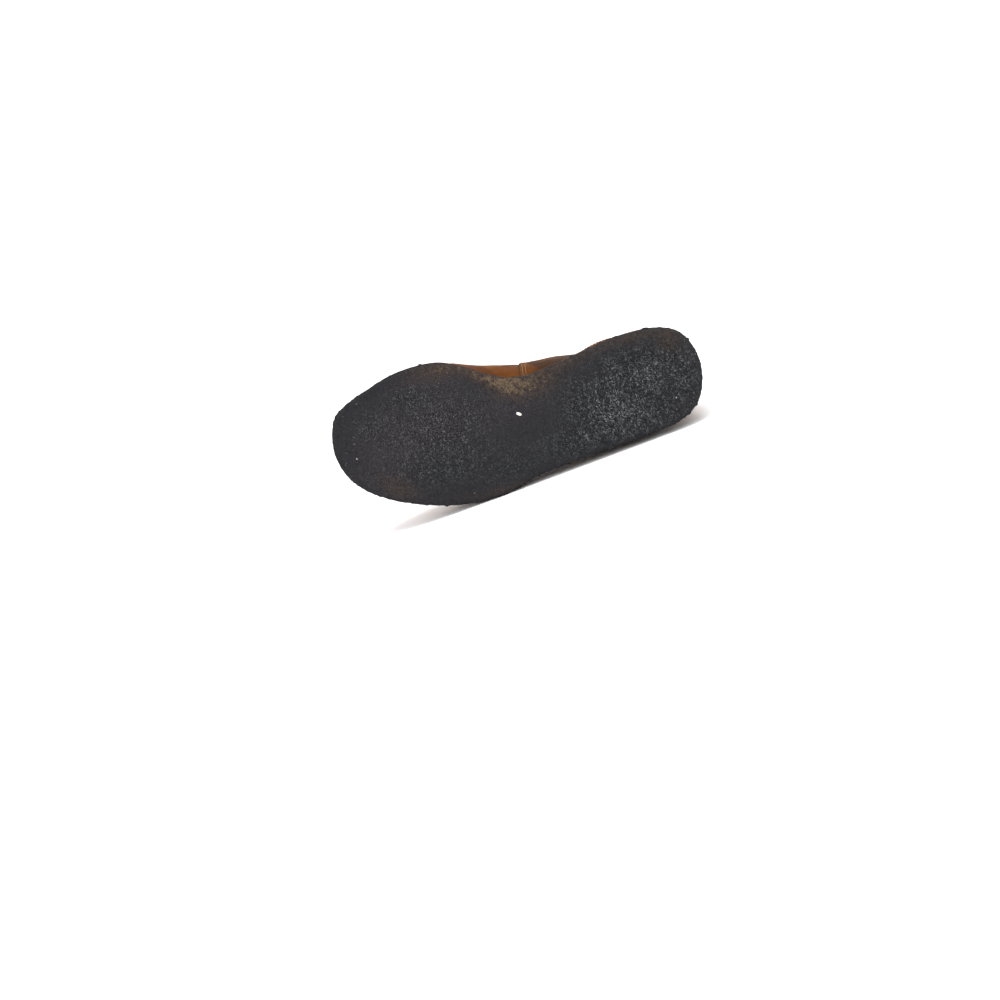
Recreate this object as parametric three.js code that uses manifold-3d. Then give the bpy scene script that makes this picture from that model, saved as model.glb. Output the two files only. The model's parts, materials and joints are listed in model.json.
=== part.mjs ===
// A right-foot chukka boot with a thick crepe sole, in millimetres.
//
// Every piece is modelled in the shoe's own frame: x runs from the back of the heel to the toe,
// y is positive on the medial (arch) side and z is up from the ground that the sole would stand on.
// The finished boot is then laid down on its lateral side, where the edge of the sole and the
// side of the shaft touch the floor: +Z is up, the toe points to -X and the sole faces -Y.

import * as THREE from 'three';
import { mergeVertices } from 'three/addons/utils/BufferGeometryUtils.js';
import { ConvexHull } from 'three/addons/math/ConvexHull.js';
import Module from 'manifold-3d';

const wasm = await Module();
wasm.setup();

// Sole
const SOLE_LENGTH = 300;
const BALL_WIDTH = 116.5;
const HEEL_WIDTH = 82;
const HEEL_THICKNESS = 24;
const BALL_THICKNESS = 13;
const TOE_SPRING = 9;
const HEEL_BEVEL = 2.5;
const ARCH_LIFT = 2.5;
const EDGE_ROUNDING = 4.5;
const TOP_ROUNDING = 1.5;
const SIDE_TAPER = 1.2;

// Upper
const LEATHER = 2.0;
const QUARTER_STEP = 1.4;
const FLANGE_MARGIN = 0.8;
const FLANGE_WIDTH = 4.6;
const FLANGE_BEND = 3.4;
const SHAFT_HEIGHT = 97;
const COLLAR_WIDTH = 67;

// Tongue, insole, eyelets and lace
const TONGUE_THICKNESS = 2.4;
const TONGUE_RISE = 11;
const INSOLE_THICKNESS = 3;
const LACE_DIAMETER = 2.6;
const LACE_SAG = 2.4;
const EYELET_BORE = 4.8;
const EYELET_SETBACK = 10;
const SEAT_GAP = 0.3;
const TONGUE_TUCK = 14;
const TONGUE_WING = 15;
const TONGUE_ROUNDING = 0.55;
const VAMP_SLOPE = 30;
const EYELET_STATIONS = [0.338, 0.42];
const TONGUE_STATIONS = [0.313, 0.338, 0.375, 0.42, 0.469];

// Where the boot balances: shares of its length and height.
const BALANCE_ALONG = 0.47;
const BALANCE_UP = 0.36;

// A table: its columns' names, then a row for each station.
const table = (names, ...rows) =>
  rows.map((row) => Object.fromEntries(names.split(' ').map((name, k) => [name, row[k]])));

// The sole's outline: shares of the length, and of the local half width on each side.
const SOLE_OUTLINE = table(
  'along medial lateral',
  [0.0, 0.07, -0.07],
  [0.02, 0.63, 0.5],
  [0.05, 0.86, 0.75],
  [0.1, 0.985, 0.92],
  [0.17, 1.0, 1.0],
  [0.24, 0.945, 1.055],
  [0.31, 0.85, 1.1],
  [0.38, 0.71, 1.08],
  [0.44, 0.582, 1.02],
  [0.5, 0.55, 0.985],
  [0.56, 0.645, 1.015],
  [0.61, 0.8, 1.045],
  [0.67, 0.935, 1.045],
  [0.73, 0.965, 1.0],
  [0.8, 0.93, 0.905],
  [0.87, 0.82, 0.76],
  [0.93, 0.7, 0.58],
  [0.975, 0.545, 0.34],
  [1.0, 0.1, -0.1],
);

// The upper's stations from the back of the heel to the toe, the same on both sides. Each is a
// curve from the sole's edge up to the opening. foot: where it leaves the sole, a share of the
// length. x, y, z: its end on the opening, shares of SOLE_LENGTH, of COLLAR_WIDTH / 2 and of
// SHAFT_HEIGHT. rise: how far it climbs before it turns, and reach: how far before its end it
// turns again, shares of SHAFT_HEIGHT. fall: the slope at its end in degrees. medial, lateral:
// how far it leans out at first, shares of BALL_WIDTH / 2. cuts: steps to the next station.
const UPPER_STATIONS = table(
  'foot x y z rise medial lateral reach fall cuts',
  [0.0, 0.037, 0.0, 1.0, 0.42, 0.07, 0.07, 0.36, 90, 4],
  [0.05, 0.068, 0.68, 0.995, 0.4, 0.06, 0.08, 0.36, 90, 3],
  [0.12, 0.14, 0.98, 0.975, 0.34, 0.02, 0.07, 0.38, 90, 3],
  [0.19, 0.227, 1.0, 0.98, 0.32, -0.02, 0.04, 0.4, 88, 2],
  [0.25, 0.3, 0.79, 1.03, 0.31, -0.03, 0.02, 0.4, 84, 2],
  [0.288, 0.337, 0.56, 1.073, 0.3, 0.0, 0.0, 0.38, 76, 2],
  [0.313, 0.358, 0.41, 1.062, 0.3, 0.05, 0.0, 0.36, 68, 2],
  [0.338, 0.375, 0.355, 0.995, 0.3, 0.14, -0.01, 0.33, 60, 2],
  [0.375, 0.407, 0.32, 0.876, 0.3, 0.275, -0.01, 0.3, 52, 2],
  [0.42, 0.45, 0.29, 0.75, 0.29, 0.36, -0.01, 0.28, 44, 2],
  [0.469, 0.496, 0.265, 0.646, 0.28, 0.4, -0.01, 0.28, 36, 1],
  [0.472, 0.499, 0.262, 0.641, 0.28, 0.4, -0.01, 0.28, 35, 2],
  [0.53, 0.513, 0.21, 0.612, 0.28, 0.41, 0.0, 0.34, 28, 3],
  [0.62, 0.521, 0.14, 0.602, 0.28, 0.2, 0.02, 0.46, 24, 3],
  [0.76, 0.525, 0.08, 0.598, 0.27, 0.06, 0.04, 0.58, 22, 3],
  [0.88, 0.527, 0.04, 0.596, 0.27, 0.05, 0.05, 0.68, 21, 3],
  [0.96, 0.528, 0.015, 0.595, 0.27, 0.05, 0.05, 0.74, 21, 4],
  [1.0, 0.528, 0.0, 0.595, 0.27, 0.05, 0.05, 0.76, 21, 0],
);

const { clamp, lerp, smoothstep, degToRad } = THREE.MathUtils;
const vec = (x, y, z) => new THREE.Vector3(x, y, z);

// The angle that spreads a share of the length evenly around both rounded ends.
const swing = (along) => Math.acos(1 - 2 * clamp(along, 0, 1));

// A smooth column of a table at a share of the length. Past the heel and the toe it goes on with
// another column, times sign, so that it stays smooth around both ends.
function column(rows, key, name, along, beyond = name, sign = 1) {
  const last = rows.length - 1;
  const at = (k) => {
    if (k < 0) return { t: -swing(rows[-k][key]), v: sign * rows[-k][beyond] };
    const mirrored = rows[2 * last - k];
    if (k > last) return { t: 2 * Math.PI - swing(mirrored[key]), v: sign * mirrored[beyond] };
    return { t: swing(rows[k][key]), v: rows[k][name] };
  };
  const t = swing(along);
  let k = 0;
  while (k < last - 1 && at(k + 1).t < t) k += 1;
  const [a, b, c, d] = [at(k - 1), at(k), at(k + 1), at(k + 2)];
  const h = c.t - b.t;
  const f = clamp((t - b.t) / h, 0, 1);
  const mb = ((c.v - a.v) / (c.t - a.t)) * h;
  const mc = ((d.v - b.v) / (d.t - b.t)) * h;
  const f2 = f * f;
  const f3 = f2 * f;
  return (2 * f3 - 3 * f2 + 1) * b.v + (f3 - 2 * f2 + f) * mb + (3 * f2 - 2 * f3) * c.v + (f3 - f2) * mc;
}

// Stations around the boot: up the medial side from heel to toe, then back along the lateral side.
const shares = UPPER_STATIONS.flatMap(({ foot, cuts }, k) =>
  Array.from({ length: cuts }, (_, n) => {
    const angle = lerp(swing(foot), swing(UPPER_STATIONS[k + 1].foot), n / cuts);
    return (1 - Math.cos(angle)) / 2;
  }),
);
const STATIONS = [
  ...shares.map((along) => ({ along, side: 1 })),
  { along: 1, side: 1 },
  ...shares.slice(1).reverse().map((along) => ({ along, side: -1 })),
];
const AROUND = STATIONS.length;

const localHalfWidth = (along) => lerp(HEEL_WIDTH, BALL_WIDTH, smoothstep(along, 0.3, 0.6)) / 2;

function outlinePoint({ along, side }) {
  const [near, far] = side > 0 ? ['medial', 'lateral'] : ['lateral', 'medial'];
  const share = column(SOLE_OUTLINE, 'along', near, along, far, -1);
  return new THREE.Vector2(along * SOLE_LENGTH, side * share * localHalfWidth(along));
}

// The outline with its outward normals.
const EDGE = STATIONS.map(outlinePoint).map((point, k, all) => {
  const ahead = all[(k + 1) % AROUND];
  const behind = all[(k + AROUND - 1) % AROUND];
  const along = ahead.clone().sub(behind).normalize();
  return { point, out: new THREE.Vector2(-along.y, along.x) };
});

// Heights of the sole, from the ground that it would stand on.
const TOE_START = 0.74;
const HEEL_END = 0.1;
const toeLift = (along) => TOE_SPRING * Math.max(0, (along - TOE_START) / (1 - TOE_START)) ** 2;
const heelLift = (along) => HEEL_BEVEL * Math.max(0, 1 - along / HEEL_END) ** 2;
const thickness = (along) => lerp(HEEL_THICKNESS, BALL_THICKNESS, smoothstep(along, 0.12, 0.64));
const soleTop = (x) => toeLift(x / SOLE_LENGTH) + thickness(x / SOLE_LENGTH);

function soleBottom(x, y) {
  const along = x / SOLE_LENGTH;
  const waist = smoothstep(along, 0.33, 0.45) * (1 - smoothstep(along, 0.5, 0.61));
  return toeLift(along) + heelLift(along) + ARCH_LIFT * waist * smoothstep(y, 0, HEEL_WIDTH / 3);
}

// A ring of the outline moved inwards, at the height that a function gives.
const ring = (inset, height) =>
  EDGE.map(({ point, out }) => {
    const x = point.x - out.x * inset;
    const y = point.y - out.y * inset;
    return vec(x, y, height(x, y));
  });

// The middle of the shoe opposite a station, kept back from both rounded ends.
function middle(k) {
  const along = clamp(STATIONS[k].along, 0.06, 0.92);
  const sides = [1, -1].map((side) => outlinePoint({ along, side }).y);
  return vec(along * SOLE_LENGTH, (sides[0] + sides[1]) / 2, 0);
}

// Rings from one that is given to the middle of the shoe, each a share of the way.
const inwards = (from, steps, height) =>
  steps.map((share) =>
    from.map((p, k) => {
      const q = p.clone().lerp(middle(k), share);
      return q.setZ(height(q.x, q.y));
    }),
  );

// A closed surface through rings of equally many points. looped joins the last ring to the first.
function skin(rings, looped = false) {
  const count = rings[0].length;
  const positions = rings.flat().flatMap((p) => [p.x, p.y, p.z]);
  const index = [];
  const pairs = looped ? rings.length : rings.length - 1;
  for (let j = 0; j < pairs; j += 1) {
    for (let k = 0; k < count; k += 1) {
      const next = (k + 1) % count;
      const [a, b] = [j * count + k, j * count + next];
      const [c, d] = [((j + 1) % rings.length) * count + next, ((j + 1) % rings.length) * count + k];
      index.push(a, c, b, a, d, c);
    }
  }
  const geometry = new THREE.BufferGeometry();
  geometry.setAttribute('position', new THREE.Float32BufferAttribute(positions, 3));
  geometry.setIndex(index);
  return geometry;
}

// Merges shared corners and drops the flat triangles of a collapsed ring.
function tidy(geometry) {
  const plain = geometry.clone();
  plain.deleteAttribute('normal');
  plain.deleteAttribute('uv');
  const merged = mergeVertices(plain, 1e-4);
  const source = merged.index.array;
  const kept = [];
  for (let k = 0; k < source.length; k += 3) {
    const [a, b, c] = [source[k], source[k + 1], source[k + 2]];
    if (a !== b && b !== c && c !== a) kept.push(a, b, c);
  }
  merged.setIndex(kept);
  return merged;
}

function solid(geometry) {
  const { index, attributes } = tidy(geometry);
  const mesh = new wasm.Mesh({
    numProp: 3,
    vertProperties: new Float32Array(attributes.position.array),
    triVerts: new Uint32Array(index.array),
  });
  return new wasm.Manifold(mesh);
}

function geometryOf(manifold) {
  const { vertProperties, triVerts, numProp } = manifold.getMesh();
  const geometry = new THREE.BufferGeometry();
  const positions = [];
  for (let k = 0; k < vertProperties.length; k += numProp) positions.push(...vertProperties.slice(k, k + 3));
  geometry.setAttribute('position', new THREE.Float32BufferAttribute(positions, 3));
  geometry.setIndex([...triVerts]);
  return geometry;
}

function outsoleGeometry() {
  const arc = (count, from, to) =>
    Array.from({ length: count }, (_, n) => degToRad(lerp(from, to, n / (count - 1))));
  const lower = arc(4, 0, 90).map((a) =>
    ring(EDGE_ROUNDING * (1 - Math.sin(a)), (x, y) => soleBottom(x, y) + EDGE_ROUNDING * (1 - Math.cos(a))),
  );
  const upper = arc(3, 90, 0).map((a) =>
    ring(SIDE_TAPER + TOP_ROUNDING * (1 - Math.sin(a)), (x) => soleTop(x) - TOP_ROUNDING * (1 - Math.cos(a))),
  );
  return skin([
    ...inwards(lower[0], [1, 0.7, 0.35], soleBottom),
    ...lower,
    ...upper,
    ...inwards(upper[2], [0.5, 1], soleTop),
  ]);
}

// The inside of the upper: for each station the flange on the sole, its bend and the wall.
const WALL_STEPS = 11;
const stationColumn = (name, { along, side }) =>
  name === 'y'
    ? column(UPPER_STATIONS, 'foot', name, along, name, -1) * side
    : column(UPPER_STATIONS, 'foot', name, along);

function openingPoint(station) {
  const get = (name) => stationColumn(name, station);
  return vec(
    get('x') * SOLE_LENGTH,
    (get('y') * COLLAR_WIDTH) / 2,
    HEEL_THICKNESS + get('z') * SHAFT_HEIGHT,
  );
}

function insideProfile(k) {
  const station = STATIONS[k];
  const { point, out } = EDGE[k];
  const get = (name) => stationColumn(name, station);
  const at = (inset, z) => {
    const x = point.x - out.x * inset;
    return vec(x, point.y - out.y * inset, soleTop(x) + SEAT_GAP + z);
  };
  const bendStart = FLANGE_MARGIN + FLANGE_WIDTH - FLANGE_BEND;
  const bend = [0, 30, 60].map((degrees) => {
    const a = degToRad(degrees);
    return at(bendStart + FLANGE_BEND * Math.sin(a), FLANGE_BEND * (1 - Math.cos(a)));
  });
  const foot = at(FLANGE_MARGIN + FLANGE_WIDTH, FLANGE_BEND);
  const end = openingPoint(station);
  const lean = (get(station.side > 0 ? 'medial' : 'lateral') * BALL_WIDTH) / 2;
  const first = foot.clone().add(vec(out.x * lean, out.y * lean, get('rise') * SHAFT_HEIGHT));
  const fall = degToRad(get('fall'));
  const plan = vec(foot.x - end.x, foot.y - end.y, 0).normalize();
  const second = plan.multiplyScalar(Math.cos(fall)).setZ(-Math.sin(fall));
  second.multiplyScalar(get('reach') * SHAFT_HEIGHT).add(end);
  const wall = new THREE.CubicBezierCurve3(foot, first, second, end).getPoints(WALL_STEPS);
  return [at(FLANGE_MARGIN, 0), ...bend, ...wall];
}

const INSIDE = STATIONS.map((_, k) => insideProfile(k));
const ALONG_WALL = INSIDE[0].length;

function wallNormal(k, j) {
  const ahead = INSIDE[(k + 1) % AROUND][j];
  const behind = INSIDE[(k + AROUND - 1) % AROUND][j];
  const above = INSIDE[k][Math.min(j + 1, ALONG_WALL - 1)];
  const below = INSIDE[k][Math.max(j - 1, 0)];
  return above.clone().sub(below).cross(ahead.clone().sub(behind)).normalize();
}

// A ring around the boot, a distance out from the inside of the upper.
const wallRing = (j, outwards) =>
  STATIONS.map((station, k) => INSIDE[k][j].clone().addScaledVector(wallNormal(k, j), outwards(station)));

const SEAM = 0.4705;
const wallThickness = ({ along }) => LEATHER + (along < SEAM ? QUARTER_STEP : 0);

function upperGeometry() {
  const steps = Array.from({ length: ALONG_WALL }, (_, j) => j);
  const inner = steps.map((j) => wallRing(j, () => 0));
  const outer = steps.map((j) => wallRing(j, wallThickness));
  return skin([...inner.reverse(), ...outer], true);
}

// A drilled cylinder or a cutter that stands on a point of the wall, along its normal.
function drill(point, normal, diameter, reach) {
  const shape = new THREE.CylinderGeometry(diameter / 2, diameter / 2, 2 * reach, 16);
  shape.applyQuaternion(new THREE.Quaternion().setFromUnitVectors(vec(0, 1, 0), normal));
  shape.translate(point.x, point.y, point.z);
  return shape;
}

// The station nearest a share of the length, on one side.
const stationAt = (along, side) =>
  STATIONS.reduce((best, s, k) => {
    const better = s.side === side && Math.abs(s.along - along) < Math.abs(STATIONS[best].along - along);
    return better || STATIONS[best].side !== side ? k : best;
  }, 0);

// A place on the inside of the wall, a distance down from the opening's edge.
function belowOpening(along, side, distance) {
  const k = stationAt(along, side);
  const gap = (j) => INSIDE[k][j].distanceTo(INSIDE[k][j - 1]);
  let j = ALONG_WALL - 1;
  let left = distance;
  while (left > gap(j)) {
    left -= gap(j);
    j -= 1;
  }
  const share = left / gap(j);
  return {
    point: INSIDE[k][j].clone().lerp(INSIDE[k][j - 1], share),
    normal: wallNormal(k, j).lerp(wallNormal(k, j - 1), share).normalize(),
  };
}

const eyelet = (along, side) => belowOpening(along, side, EYELET_SETBACK);

function upperWithEyelets() {
  let upper = solid(upperGeometry());
  for (const along of EYELET_STATIONS) {
    for (const side of [1, -1]) {
      const { point, normal } = eyelet(along, side);
      upper = upper.subtract(solid(drill(point, normal, EYELET_BORE, 3 * LEATHER)));
    }
  }
  return geometryOf(upper);
}

// The middle of the throat between both edges of the opening, arched like the instep.
function throatArch(along) {
  const [lateral, medial] = [-1, 1].map((side) => {
    const edge = belowOpening(along, side, 0);
    return { ...edge, up: edge.point.clone().sub(belowOpening(along, side, 5).point).normalize() };
  });
  const handle = lateral.point.distanceTo(medial.point) / 3;
  const bridge = new THREE.CubicBezierCurve3(
    lateral.point,
    lateral.point.clone().addScaledVector(lateral.up, handle),
    medial.point.clone().addScaledVector(medial.up, handle),
    medial.point,
  );
  return (share) => ({
    point: bridge.getPoint(share),
    normal: lateral.normal.clone().lerp(medial.normal, share).normalize(),
  });
}

const raised = ({ point, normal }, height) => point.clone().addScaledVector(normal, height);

// The tongue fills the throat and lies under both facings, with room for the lace between.
const LACE_ROOM = LACE_DIAMETER + 2 * SEAT_GAP + 0.4;

function tongueSection(along) {
  const wing = (side) => [1, 0.66, 0.33, 0].map((share) => belowOpening(along, side, share * TONGUE_WING));
  const sheet = [...wing(-1), ...[0.25, 0.5, 0.75].map(throatArch(along)), ...wing(1).reverse()];
  const layer = (depth) => sheet.map((place) => raised(place, -depth));
  return [...layer(LACE_ROOM), ...layer(LACE_ROOM + TONGUE_THICKNESS).reverse()];
}

// Moves a section of the tongue along, its corners less than its crown, and narrows it.
function shifted(section, move, width) {
  const half = (section.length / 2 - 1) / 2;
  const centre = section[half];
  return section.map((p, k) => {
    const aside = Math.abs((k % (section.length / 2)) - half) / half;
    const q = p.clone().sub(centre).multiply(vec(1, width, 1)).add(centre);
    return q.addScaledVector(move, 1 - TONGUE_ROUNDING * aside ** 2);
  });
}

// Closes both ends of a strip whose sections hold its outer edge, then its inner edge backwards.
function strip(sections) {
  const seam = (section) => section.map((p, k) => p.clone().lerp(section[section.length - 1 - k], 0.5));
  return skin([seam(sections[0]), ...sections, seam(sections[sections.length - 1])]);
}

function tongueGeometry() {
  const sections = TONGUE_STATIONS.map(tongueSection);
  const [top, next] = sections;
  const low = sections[sections.length - 1];
  const crown = (top.length / 2 - 1) / 2;
  const up = top[crown].clone().sub(next[crown]).setY(0).normalize();
  const tuck = vec(Math.cos(degToRad(VAMP_SLOPE)), 0, -Math.sin(degToRad(VAMP_SLOPE)));
  return strip([
    shifted(top, up.clone().multiplyScalar(TONGUE_RISE), 0.9),
    shifted(top, up.clone().multiplyScalar(TONGUE_RISE / 2), 0.98),
    ...sections,
    shifted(low, tuck.multiplyScalar(TONGUE_TUCK), 0.7),
  ]);
}

function insoleGeometry() {
  const inset = FLANGE_MARGIN + FLANGE_WIDTH + 2 * SEAT_GAP;
  const low = (x) => soleTop(x) + SEAT_GAP;
  const high = (x) => low(x) + INSOLE_THICKNESS;
  const [under, over] = [ring(inset, low), ring(inset, high)];
  return skin([...inwards(under, [1, 0.5], low), under, over, ...inwards(over, [0.5, 1], high)]);
}

// How far the lace's last end runs back up between the lateral eyelets: shares of their spacing.
const LACE_END = [0.67, 0.36];

// The lace: out of the lateral top eyelet, over to the medial one, down behind that facing, and
// back across through the lower pair and up behind the lateral facing to just short of the start.
function laceRoute() {
  const [high, low] = EYELET_STATIONS;
  const behind = -LACE_ROOM / 2;
  const above = LEATHER + QUARTER_STEP + LACE_DIAMETER / 2 + SEAT_GAP + 0.4;
  const inEyelet = (along, side, depth) => raised(eyelet(along, side), depth);
  const overFacing = (along, side) =>
    [0.75, 0.4, 0].map((share) => raised(belowOpening(along, side, share * EYELET_SETBACK), above));
  const bar = (along, from) => [
    inEyelet(along, from, LEATHER),
    ...overFacing(along, from),
    raised(throatArch(along)(0.5), above - LACE_SAG),
    ...overFacing(along, -from).reverse(),
    inEyelet(along, -from, LEATHER),
  ];
  const between = (side, shares) => shares.map((share) => inEyelet(lerp(high, low, share), side, behind));
  return new THREE.CatmullRomCurve3(
    [
      inEyelet(high, -1, behind),
      ...bar(high, -1),
      inEyelet(high, 1, behind),
      ...between(1, [0.33, 0.67]),
      inEyelet(low, 1, behind),
      ...bar(low, 1),
      inEyelet(low, -1, behind),
      ...between(-1, LACE_END),
    ],
    false,
    'centripetal',
  );
}

function laceGeometry() {
  const section = new THREE.Shape();
  section.absarc(0, 0, LACE_DIAMETER / 2, 0, 2 * Math.PI);
  return new THREE.ExtrudeGeometry(section, { steps: 78, curveSegments: 4, extrudePath: laceRoute() });
}

const finish = (name, geometry, colour, roughness) => {
  const material = new THREE.MeshStandardMaterial({ color: colour, roughness, metalness: 0 });
  const mesh = new THREE.Mesh(tidy(geometry), material);
  mesh.name = name;
  return mesh;
};

const boot = new THREE.Group();
boot.add(
  finish('outsole', outsoleGeometry(), '#3b3b3e', 0.9),
  finish('insole', insoleGeometry(), '#a58a63', 0.8),
  finish('upper', upperWithEyelets(), '#8a4a22', 0.55),
  finish('tongue', tongueGeometry(), '#80451f', 0.6),
  finish('lace', laceGeometry(), '#4a2c18', 0.85),
);

// Lays the boot on its lateral side: the face of its convex hull that a line from the middle of
// the boot towards that side passes through becomes the floor.
function layDown(group) {
  const corners = group.children.flatMap(({ geometry: { attributes: { position } } }) =>
    Array.from({ length: position.count }, (_, k) => vec().fromBufferAttribute(position, k)),
  );
  const middlePoint = vec(SOLE_LENGTH * BALANCE_ALONG, 0, (HEEL_THICKNESS + SHAFT_HEIGHT) * BALANCE_UP);
  const lateral = vec(0, -1, 0);
  const reach = ({ normal, constant }) => (constant - normal.dot(middlePoint)) / normal.dot(lateral);
  const hull = new ConvexHull().setFromPoints(corners);
  const faces = hull.faces.filter(({ normal }) => normal.dot(lateral) > 0.5);
  const rest = faces.reduce((best, face) => (reach(face) < reach(best) ? face : best));
  const up = rest.normal.clone().negate();
  const toe = vec(1, 0, 0).projectOnPlane(up).normalize();
  const back = toe.clone().negate();
  const toRow = new THREE.Matrix4().makeBasis(back, up.clone().cross(back), up).transpose();
  group.quaternion.setFromRotationMatrix(toRow);
  const box = new THREE.Box3().setFromPoints(corners.map((p) => p.clone().applyMatrix4(toRow)));
  const centre = box.getCenter(vec());
  group.position.set(-centre.x, -centre.y, -box.min.z);
}

layDown(boot);

export default boot;
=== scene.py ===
import json
import math
import random

import bmesh
import bpy
import numpy as np
from mathutils import Matrix, Vector, noise


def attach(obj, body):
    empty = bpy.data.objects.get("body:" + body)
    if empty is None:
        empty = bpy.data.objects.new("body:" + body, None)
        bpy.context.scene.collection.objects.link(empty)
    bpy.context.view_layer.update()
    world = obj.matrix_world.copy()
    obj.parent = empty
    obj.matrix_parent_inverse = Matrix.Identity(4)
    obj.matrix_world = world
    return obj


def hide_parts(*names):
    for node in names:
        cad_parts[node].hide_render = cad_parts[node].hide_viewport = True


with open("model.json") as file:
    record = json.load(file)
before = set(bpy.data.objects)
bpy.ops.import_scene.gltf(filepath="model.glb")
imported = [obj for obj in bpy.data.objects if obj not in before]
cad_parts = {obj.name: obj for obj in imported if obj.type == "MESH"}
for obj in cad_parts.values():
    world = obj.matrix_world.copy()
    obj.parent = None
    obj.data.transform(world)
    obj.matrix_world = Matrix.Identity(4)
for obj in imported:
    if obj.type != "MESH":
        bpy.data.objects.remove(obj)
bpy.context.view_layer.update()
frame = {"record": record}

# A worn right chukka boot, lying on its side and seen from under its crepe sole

MM = 0.001

# The shoe's own frame, recovered from the two flat spots under the sole: x from the back of the
# heel to the toe, y positive on the medial side, z up from the ground it would stand on, in mm.
HEEL_FLAT_X = 60.0
MOUNTS = {mount["name"]: mount for mount in frame["record"]["mounts"]}
HEEL_FLAT = Vector(MOUNTS["heel_flat"]["pos_m"])
UP = -Vector(MOUNTS["heel_flat"]["axis"]).normalized()
ALONG = Vector(MOUNTS["forefoot_flat"]["pos_m"]) - HEEL_FLAT
TOE = (ALONG - UP * ALONG.dot(UP)).normalized()
MEDIAL = UP.cross(TOE)
AXES = np.array([TOE, MEDIAL, UP])


def in_row(points):
    """Points of the shoe's frame, in mm, as points of the row's frame, in metres."""
    shifted = np.asarray(points, float) - np.array([HEEL_FLAT_X, 0.0, 0.0])
    return np.array(HEEL_FLAT) + shifted @ AXES * MM


# Camera: square on to the sole but for a small look from the medial side, rolled as in the photo
PIXELS = 1000
MM_PER_PIXEL = 0.788
CAMERA_DISTANCE = 1300.0
LOOK_FROM_MEDIAL = math.radians(3.4)
LOOK_FROM_TOE = math.radians(0.0)
HEEL_RAISED = math.radians(14.0)
MIDDLE_OF_SOLE = (150.6, -0.8, 0.0)
MIDDLE_IN_PHOTO = (518, 415)
SENSOR = 36.0


def make_camera():
    data = bpy.data.cameras.new("camera")
    data.sensor_width = SENSOR
    data.lens = SENSOR * CAMERA_DISTANCE / (MM_PER_PIXEL * PIXELS)
    data.shift_x = -(MIDDLE_IN_PHOTO[0] / PIXELS - 0.5)
    data.shift_y = MIDDLE_IN_PHOTO[1] / PIXELS - 0.5
    data.clip_end = 20
    camera = bpy.data.objects.new("camera", data)
    bpy.context.scene.collection.objects.link(camera)
    back = -UP + MEDIAL * math.tan(LOOK_FROM_MEDIAL) + TOE * math.tan(LOOK_FROM_TOE)
    back.normalize()
    right = -TOE * math.cos(HEEL_RAISED) - MEDIAL * math.sin(HEEL_RAISED)
    right = (right - back * right.dot(back)).normalized()
    upwards = back.cross(right)
    target = Vector(in_row([MIDDLE_OF_SOLE])[0])
    turn = Matrix((right, upwards, back)).transposed().to_4x4()
    camera.matrix_world = Matrix.Translation(target + back * CAMERA_DISTANCE * MM) @ turn
    bpy.context.scene.camera = camera


make_camera()

# Sole
SOLE_LENGTH = 300.0
BALL_WIDTH = 116.5
HEEL_WIDTH = 82.0
HEEL_THICKNESS = 24.0
BALL_THICKNESS = 13.0
TOE_SPRING = 9.0
HEEL_BEVEL = 2.5
ARCH_LIFT = 2.5
EDGE_ROUNDING = 4.5
TOP_ROUNDING = 1.5
SIDE_TAPER = 1.2

# Upper
LEATHER = 2.0
QUARTER_STEP = 1.4
LINING = 0.9
FLANGE_MARGIN = 0.8
FLANGE_WIDTH = 4.6
FLANGE_BEND = 3.4
SHAFT_HEIGHT = 97.0
COLLAR_WIDTH = 67.0
SEAM = 0.4705

# Tongue, insole, eyelets and lace
TONGUE_THICKNESS = 2.4
TONGUE_RISE = 11.0
TONGUE_TUCK = 14.0
TONGUE_WING = 15.0
TONGUE_ROUNDING = 0.55
VAMP_SLOPE = math.radians(30)
INSOLE_THICKNESS = 3.0
LACE_DIAMETER = 2.6
LACE_SAG = 2.4
EYELET_BORE = 4.8
EYELET_SETBACK = 10.0
SEAT_GAP = 0.3
EYELET_STATIONS = (0.338, 0.42)
TONGUE_STATIONS = (0.313, 0.338, 0.375, 0.42, 0.469)


def table(names, *rows):
    return {name: np.array(column, float) for name, column in zip(names.split(), zip(*rows))}


# The sole's outline: shares of the length, and of the local half width on each side.
OUTLINE = table(
    "along medial lateral",
    (0.0, 0.07, -0.07),
    (0.02, 0.63, 0.5),
    (0.05, 0.86, 0.75),
    (0.1, 0.985, 0.92),
    (0.17, 1.0, 1.0),
    (0.24, 0.945, 1.055),
    (0.31, 0.85, 1.1),
    (0.38, 0.71, 1.08),
    (0.44, 0.582, 1.02),
    (0.5, 0.55, 0.985),
    (0.56, 0.645, 1.015),
    (0.61, 0.8, 1.045),
    (0.67, 0.935, 1.045),
    (0.73, 0.965, 1.0),
    (0.8, 0.93, 0.905),
    (0.87, 0.82, 0.76),
    (0.93, 0.7, 0.58),
    (0.975, 0.545, 0.34),
    (1.0, 0.1, -0.1),
)

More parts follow.
